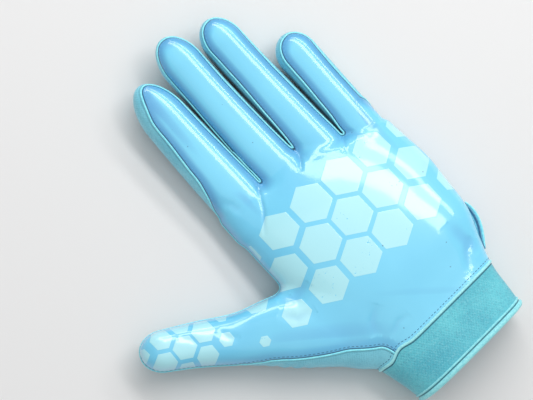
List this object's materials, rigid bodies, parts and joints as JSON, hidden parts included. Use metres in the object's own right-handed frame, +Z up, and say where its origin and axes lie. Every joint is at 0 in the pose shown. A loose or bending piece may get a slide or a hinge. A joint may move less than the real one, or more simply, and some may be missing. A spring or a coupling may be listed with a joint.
{
  "type": "football receiver glove",
  "caption": "Left-hand football receiver glove lying palm up, with a glossy grip palm, knitted side strips between the fingers, a thumb gusset and a bound stretch cuff; hollow inside.",
  "frame": {"origin": "middle of the bounding box in plan, on the floor the glove lies on", "axes": "+X to the little finger, +Y to the fingertips, +Z up out of the palm"},
  "size_m": [0.1768, 0.2228, 0.0334],
  "materials": {
    "palm": "glossy silicone grip sheet, pale blue",
    "back_cloth": "teal stretch knit, matt",
    "side_cloth": "teal stretch knit, soft sheen",
    "cuff_cloth": "teal knit with a fine nap",
    "trim": "light aqua binding tape",
    "tab": "folded stretch cloth"
  },
  "bodies": {
    "root": {"palm_panel": "palm", "back_panel": "back_cloth", "thumb_gusset": "side_cloth", "fourchette_thumb_index": "side_cloth", "fourchette_index_middle": "side_cloth", "fourchette_middle_ring": "side_cloth", "fourchette_ring_little": "side_cloth", "side_strip_little": "side_cloth", "cuff": "cuff_cloth", "cuff_binding": "trim", "cuff_seam": "trim", "side_tab": "tab"}
  },
  "joints": []
}
